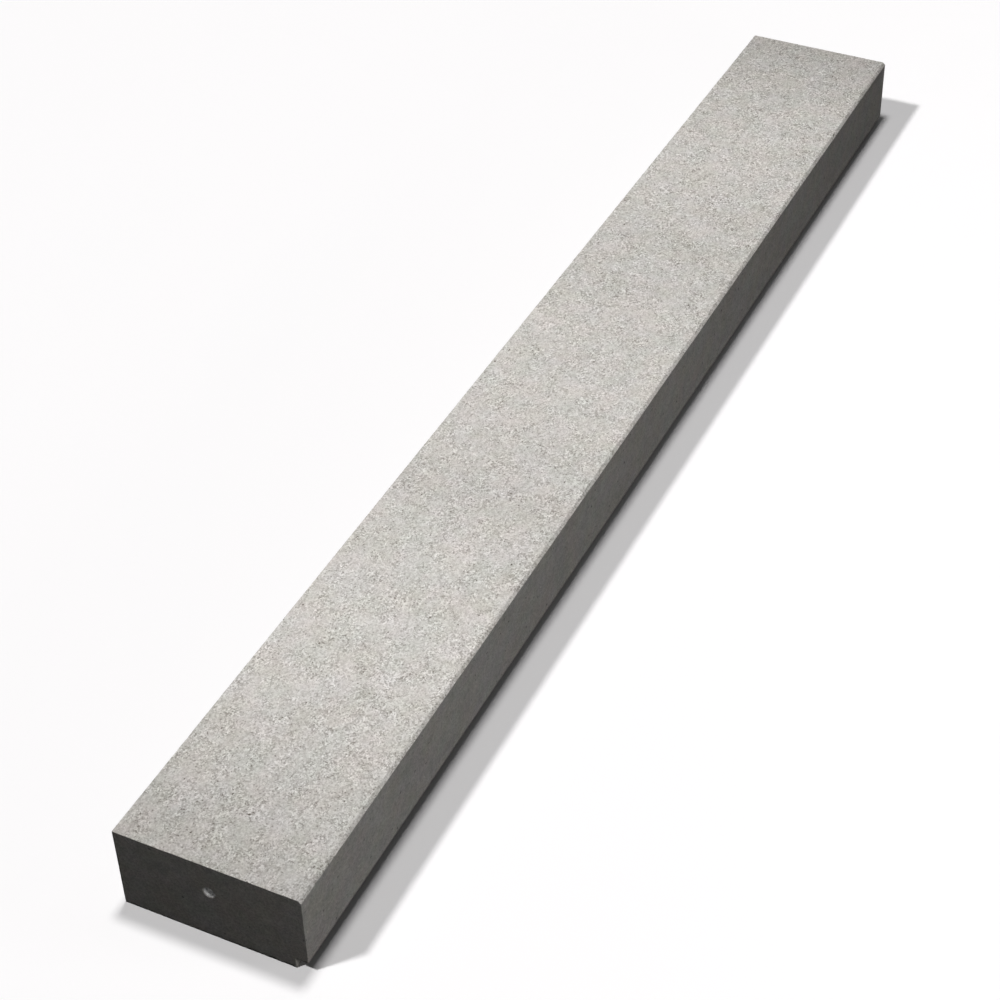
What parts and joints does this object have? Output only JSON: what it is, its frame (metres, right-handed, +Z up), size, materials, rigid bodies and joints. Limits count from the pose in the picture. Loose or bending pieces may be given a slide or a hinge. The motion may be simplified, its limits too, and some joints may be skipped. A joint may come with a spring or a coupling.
{
  "type": "concrete step block",
  "caption": "Long solid concrete step with a textured tread, a chamfered front edge, an overlap rebate along the lower front and a cast-in lifting socket in each end.",
  "frame": {"origin": "middle of the underside's bounding box, on the floor", "axes": "+X along the step, from its left end to its right end; the front riser faces -Y; +Z up, out of the tread"},
  "size_m": [2.5, 0.3, 0.15],
  "materials": {
    "concrete": "matte",
    "zinc_steel": "satin"
  },
  "bodies": {
    "root": {"step_block": "concrete", "lifting_socket_left": "zinc_steel", "lifting_socket_right": "zinc_steel"}
  },
  "joints": []
}
